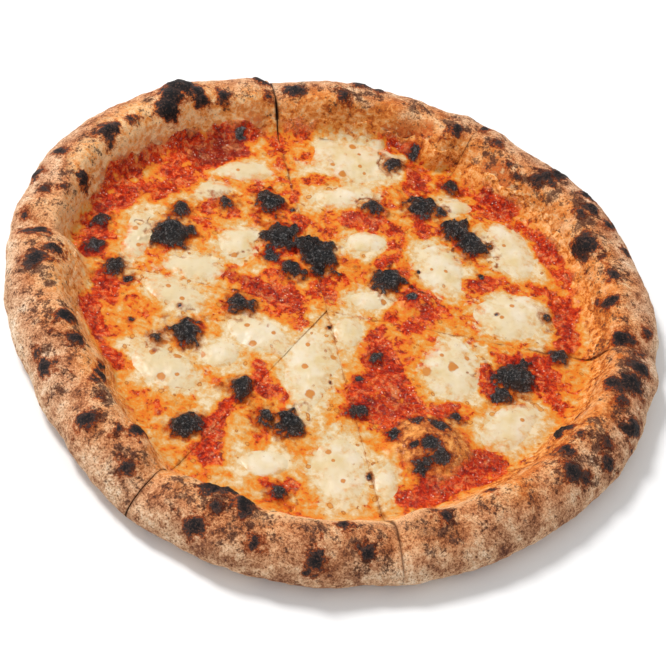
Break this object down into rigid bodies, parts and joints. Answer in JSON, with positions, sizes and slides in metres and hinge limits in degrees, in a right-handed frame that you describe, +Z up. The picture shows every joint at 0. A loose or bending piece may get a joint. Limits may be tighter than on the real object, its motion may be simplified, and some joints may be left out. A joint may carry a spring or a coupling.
{
  "type": "margherita pizza",
  "caption": "Round wood-fired pizza with a puffed charred rim, cooked tomato and melted mozzarella, cut into wedges that still lie together.",
  "frame": {"origin": "on the surface under the middle of the pizza's bounding box", "axes": "+Z up through the flat of the pizza, +X to the right as it lies before a viewer who looks along +Y"},
  "size_m": [0.3178, 0.3138, 0.0309],
  "materials": {
    "baked_dough": "matte floury crust, browned and charred in spots",
    "tomato": "wet cooked tomato with oil",
    "mozzarella": "soft sheen of melted cheese"
  },
  "bodies": {
    "root": {"dough_right_back": "baked_dough", "tomato_right_back": "tomato", "mozzarella_right_back_1": "mozzarella", "mozzarella_right_back_2": "mozzarella", "mozzarella_right_back_3": "mozzarella", "mozzarella_right_back_4": "mozzarella", "mozzarella_right_back_5": "mozzarella", "dough_back": "baked_dough", "tomato_back": "tomato", "mozzarella_back_1": "mozzarella", "mozzarella_back_2": "mozzarella", "mozzarella_back_3": "mozzarella", "dough_left_back": "baked_dough", "tomato_left_back": "tomato", "mozzarella_left_back_1": "mozzarella", "mozzarella_left_back_2": "mozzarella", "mozzarella_left_back_3": "mozzarella", "mozzarella_left_back_4": "mozzarella", "mozzarella_left_back_5": "mozzarella", "dough_left_front": "baked_dough", "tomato_left_front": "tomato", "mozzarella_left_front_1": "mozzarella", "mozzarella_left_front_2": "mozzarella", "mozzarella_left_front_3": "mozzarella", "mozzarella_left_front_4": "mozzarella", "dough_front": "baked_dough", "tomato_front": "tomato", "mozzarella_front_1": "mozzarella", "mozzarella_front_2": "mozzarella", "mozzarella_front_3": "mozzarella", "dough_right_front": "baked_dough", "tomato_right_front": "tomato", "mozzarella_right_front_1": "mozzarella", "mozzarella_right_front_2": "mozzarella", "mozzarella_right_front_3": "mozzarella", "mozzarella_right_front_4": "mozzarella"}
  },
  "joints": []
}
